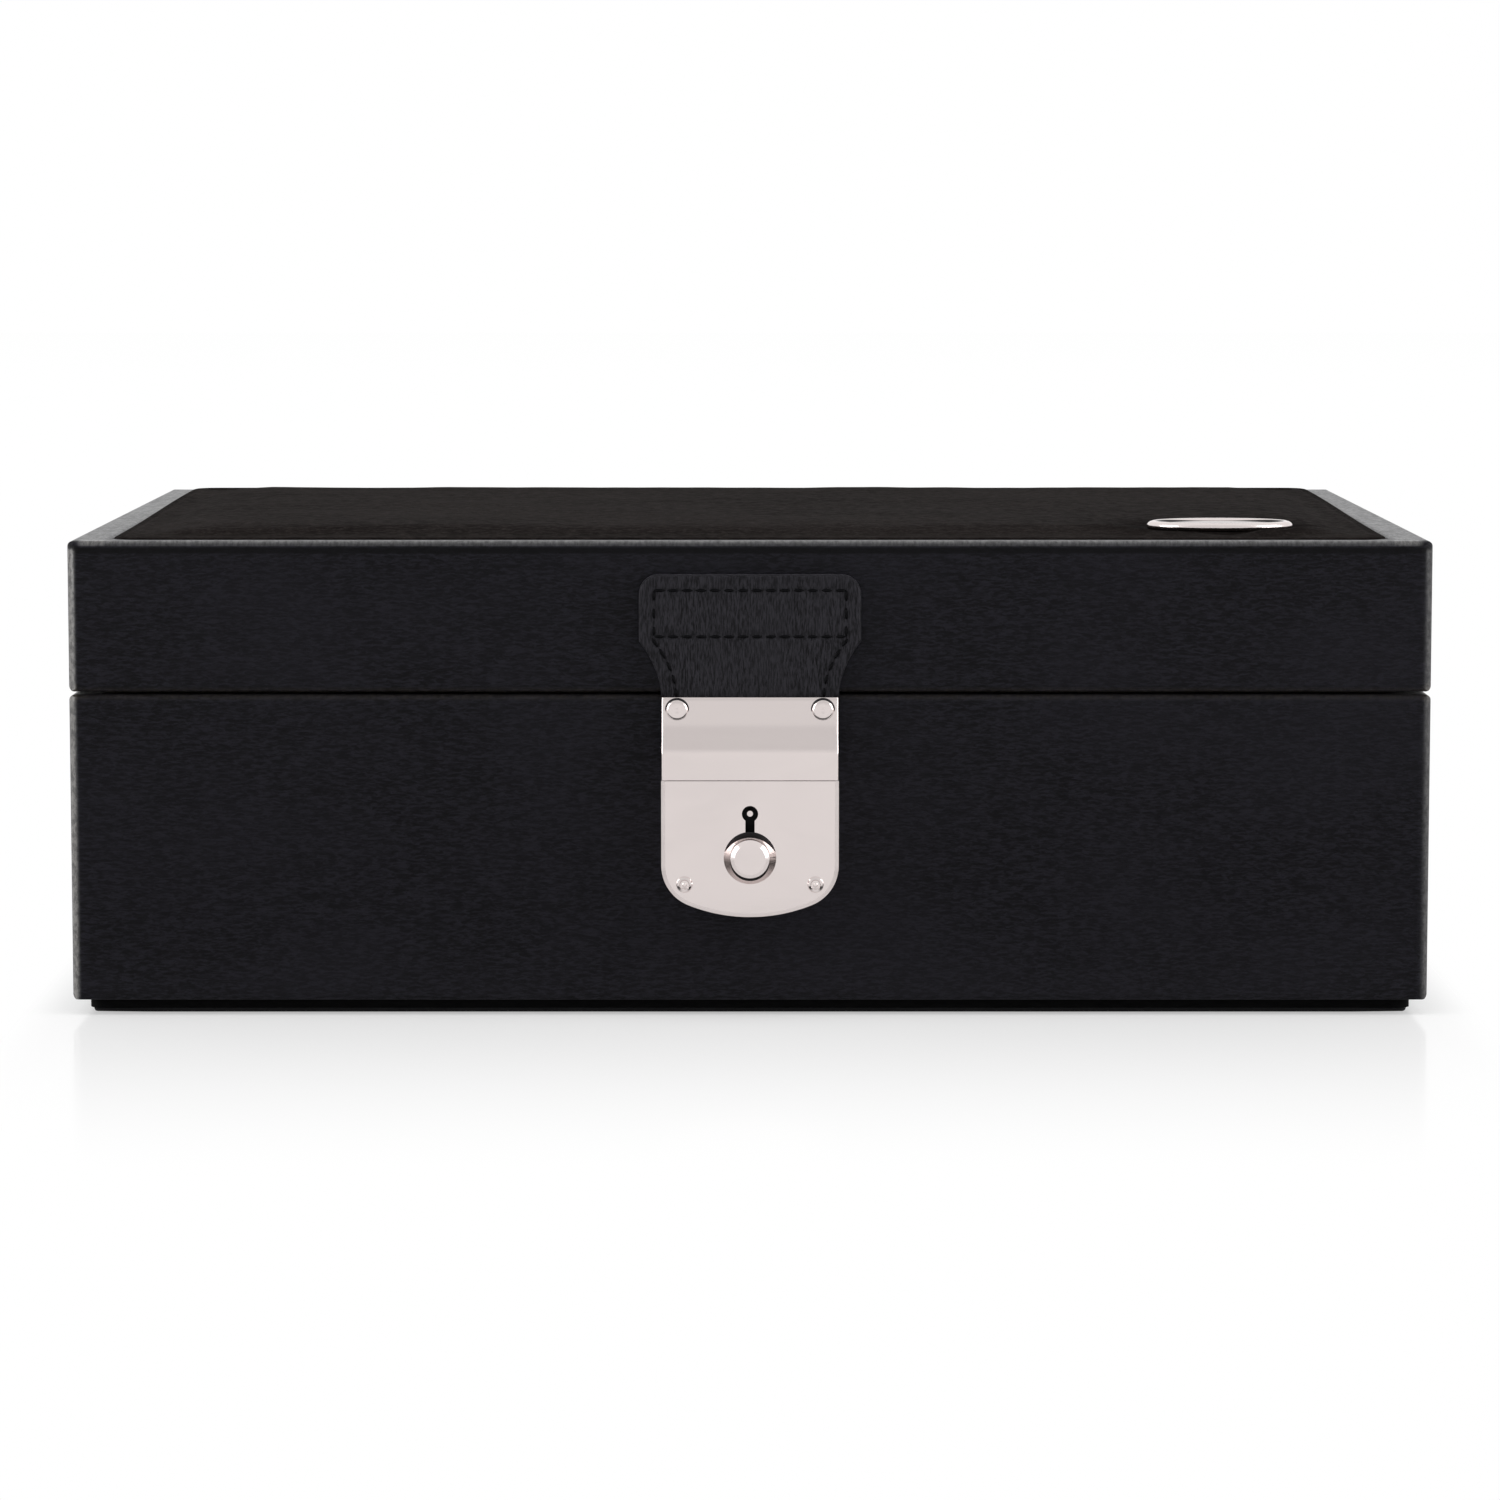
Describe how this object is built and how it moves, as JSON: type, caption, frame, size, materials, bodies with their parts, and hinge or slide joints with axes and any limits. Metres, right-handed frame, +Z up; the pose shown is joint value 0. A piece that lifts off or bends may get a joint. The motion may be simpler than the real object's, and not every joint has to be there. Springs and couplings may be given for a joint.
{
  "type": "cash box",
  "caption": "Leather-covered lockable box: padded hinged lid, strap with a metal hasp over a push-button lock, and a lift-out tray inside.",
  "frame": {"origin": "middle of the base's underside", "axes": "+X to the right as the lock is faced, +Y to the hinges at the back, +Z up"},
  "size_m": [0.303, 0.2258, 0.1088],
  "materials": {
    "felt": "felt",
    "black_board": "stained, satin",
    "board": "bare board",
    "cover_leather": "smooth grained, semi-matt",
    "pad_leather": "soft matt",
    "suede_lining": "suede",
    "strap_leather": "grained, painted edges",
    "polished_nickel": "polished nickel",
    "lock_steel": "plain",
    "hinge_nickel": "satin nickel",
    "tray_covering": "suede over board"
  },
  "bodies": {
    "case": {"base_felt": "felt", "base_board": "black_board", "case_bottom_panel": "board", "case_front_panel": "board", "case_back_panel": "board", "case_left_panel": "board", "case_right_panel": "board", "case_leather": "cover_leather", "case_lining_front": "suede_lining", "case_lining_back": "suede_lining", "case_lining_left": "suede_lining", "case_lining_right": "suede_lining", "floor_pad": "suede_lining", "tray_rest_left": "suede_lining", "tray_rest_right": "suede_lining", "lock_body": "polished_nickel", "lock_backplate": "lock_steel", "lock_rivets": "polished_nickel", "key_post": "polished_nickel", "button_spring": "lock_steel", "hinge_case_leaf_left": "hinge_nickel", "hinge_case_leaf_right": "hinge_nickel", "hinge_pin_left": "hinge_nickel", "hinge_pin_right": "hinge_nickel", "hinge_case_screws": "hinge_nickel"},
    "lid": {"lid_front_panel": "board", "lid_back_panel": "board", "lid_left_panel": "board", "lid_right_panel": "board", "lid_top_board": "board", "lid_leather": "cover_leather", "lid_top_pad": "pad_leather", "lid_lining": "suede_lining", "lid_inner_pad": "suede_lining", "badge_plate": "polished_nickel", "hinge_lid_leaf_left": "hinge_nickel", "hinge_lid_leaf_right": "hinge_nickel", "hinge_lid_screws": "hinge_nickel", "strap_anchor": "strap_leather"},
    "hasp": {"strap_flap": "strap_leather", "hasp_plate": "polished_nickel", "hasp_staple": "polished_nickel", "hasp_rivets": "polished_nickel", "hasp_backing": "lock_steel"},
    "button": {"lock_button": "polished_nickel"},
    "bolt": {"lock_bolt": "lock_steel"},
    "tray": {"tray_floor": "board", "tray_front_wall": "tray_covering", "tray_back_wall": "tray_covering", "tray_left_wall": "tray_covering", "tray_right_wall": "tray_covering", "tray_long_divider": "tray_covering", "tray_cross_dividers": "tray_covering", "tray_felt": "felt", "tray_pulls": "strap_leather"}
  },
  "joints": [
    {"name": "lid_hinge", "type": "hinge", "parent": "case", "child": "lid", "pos_m": [0, 0.1076, 0.0723], "axis": [-1, 0, 0], "range_deg": [0, 100]},
    {"name": "hasp_fold", "type": "hinge", "parent": "lid", "child": "hasp", "pos_m": [0, -0.10637, 0.0826], "axis": [-1, 0, 0], "range_deg": [0, 95]},
    {"name": "button_push", "type": "slide", "parent": "case", "child": "button", "axis": [0, 1, 0], "range_m": [0, 0.0022], "stiffness_N_per_m": 400, "deforming": ["button_spring"]},
    {"name": "bolt_throw", "type": "slide", "parent": "case", "child": "bolt", "axis": [-1, 0, 0], "range_m": [0, 0.00352]},
    {"name": "tray_lift", "type": "slide", "parent": "case", "child": "tray", "axis": [0, 0, 1], "range_m": [0, 0.014]}
  ],
  "couplings": [
    {"joint": "bolt_throw", "follows": "button_push", "ratio": 1.6}
  ]
}
